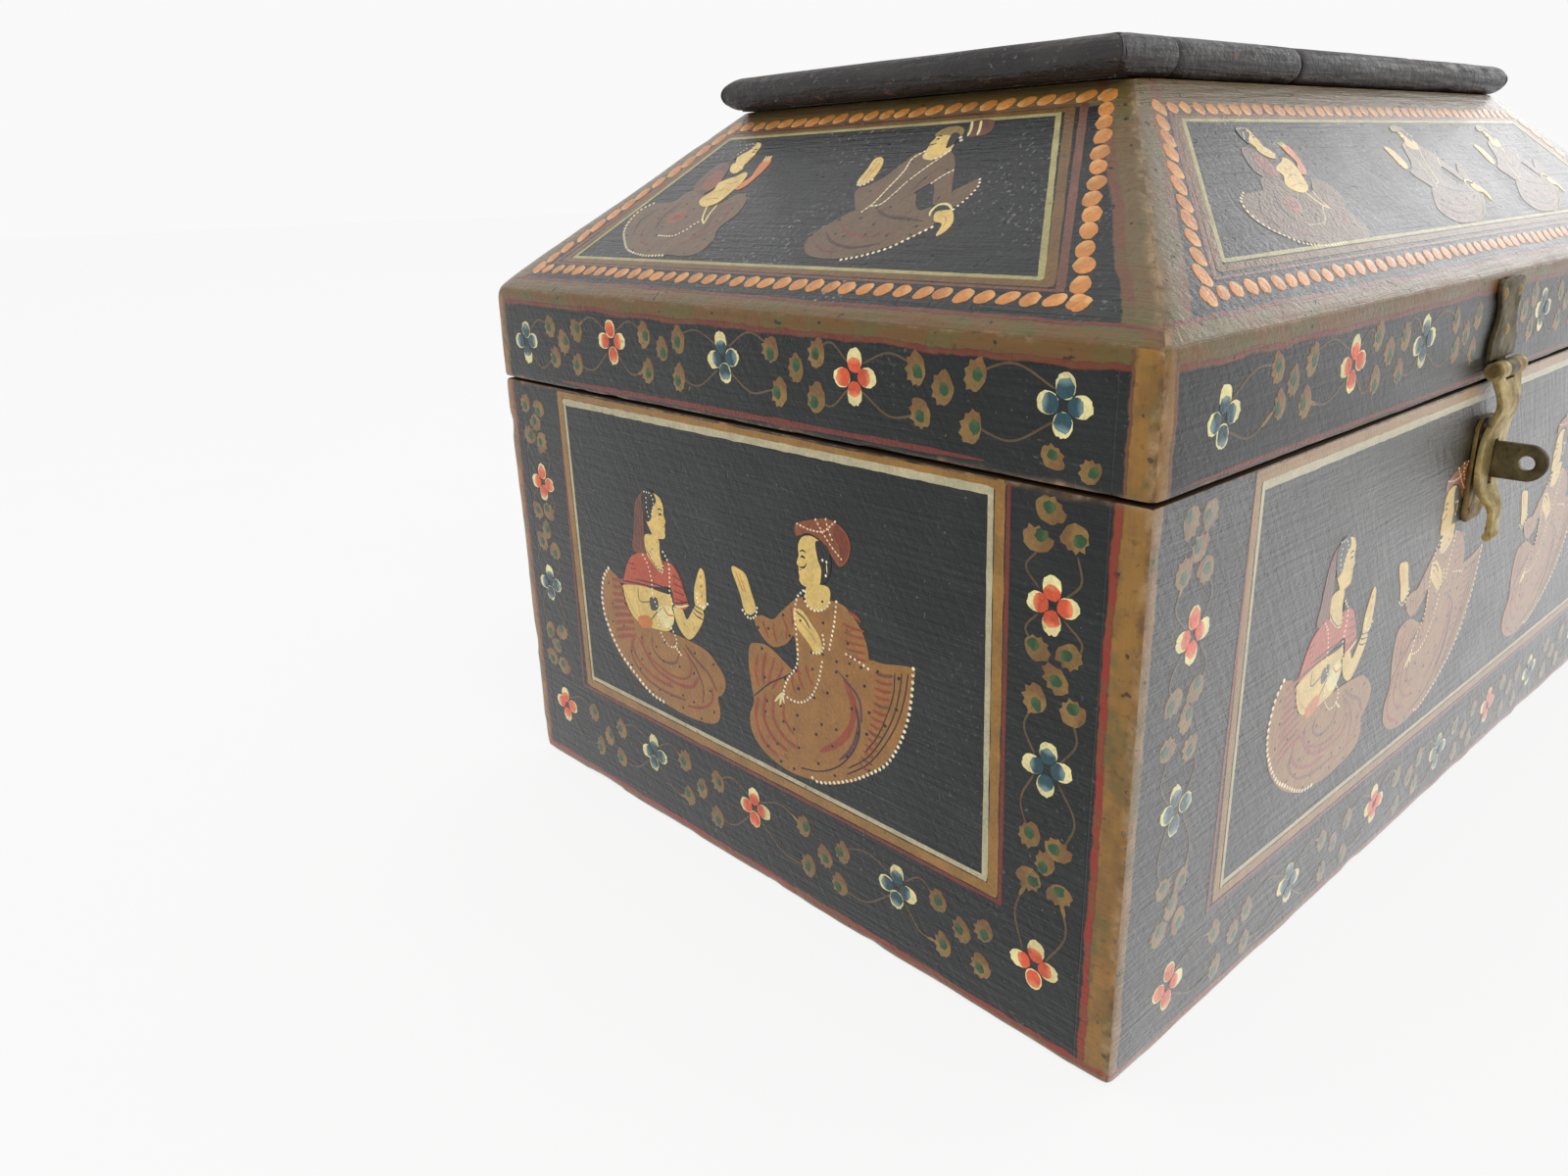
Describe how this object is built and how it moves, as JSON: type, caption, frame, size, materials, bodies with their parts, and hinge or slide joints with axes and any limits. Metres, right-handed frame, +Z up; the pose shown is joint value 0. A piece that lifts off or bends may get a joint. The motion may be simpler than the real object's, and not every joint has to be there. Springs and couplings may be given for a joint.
{
  "type": "wooden keepsake box",
  "caption": "Painted wooden box for papers and keepsakes with a hipped, hinged lid, a flat rounded-edge top and a brass hasp with a padlock eye.",
  "frame": {"origin": "middle of the underside, on the surface that the box stands on", "axes": "+Z up, -Y towards the front with the hasp, +X to the right along the length"},
  "size_m": [0.454, 0.3287, 0.2808],
  "materials": {
    "painted_wood": "hand-painted dark ground with coloured bands, worn varnish",
    "painted_slope": "hand-painted, worn varnish",
    "black_paint": "old black-brown paint, worn at the edges",
    "bare_wood": "plain sawn wood",
    "brass": "dull, tarnished",
    "iron": "dull iron nails"
  },
  "bodies": {
    "body": {"body_front": "painted_wood", "body_back": "painted_wood", "body_left_end": "painted_wood", "body_right_end": "painted_wood", "body_bottom": "bare_wood", "body_corner_nails": "iron", "body_bottom_nails": "iron", "staple_plate": "brass", "staple_tacks": "brass", "staple_eye": "brass", "hinge_left_body_leaf": "brass", "hinge_left_pin": "brass", "hinge_right_body_leaf": "brass", "hinge_right_pin": "brass", "hinge_body_tacks": "brass"},
    "lid": {"lid_front_rail": "painted_wood", "lid_back_rail": "painted_wood", "lid_left_rail": "painted_wood", "lid_right_rail": "painted_wood", "lid_front_slope": "painted_slope", "lid_back_slope": "painted_slope", "lid_left_slope": "painted_slope", "lid_right_slope": "painted_slope", "lid_top_board": "black_paint", "lid_rail_nails": "iron", "lid_slope_nails": "iron", "lid_top_nails": "iron", "top_strip_left": "black_paint", "top_strip_right": "black_paint", "top_strip_back": "black_paint", "top_strip_front_short": "black_paint", "top_strip_front_middle": "black_paint", "top_strip_front_long": "black_paint", "top_strip_brads": "iron", "hasp_leaf": "brass", "hasp_leaf_tacks": "brass", "hasp_pin": "brass", "hinge_left_lid_leaf": "brass", "hinge_right_lid_leaf": "brass", "hinge_lid_tacks": "brass"},
    "hasp": {"hasp_arm": "brass"}
  },
  "joints": [
    {"name": "lid_hinge", "type": "hinge", "parent": "body", "child": "lid", "pos_m": [0, 0.1535, 0.1704], "axis": [-1, 0, 0], "range_deg": [0, 180]},
    {"name": "hasp_hinge", "type": "hinge", "parent": "lid", "child": "hasp", "pos_m": [-0.005, -0.1535, 0.1742], "axis": [-1, 0, 0], "range_deg": [0, 160]}
  ]
}
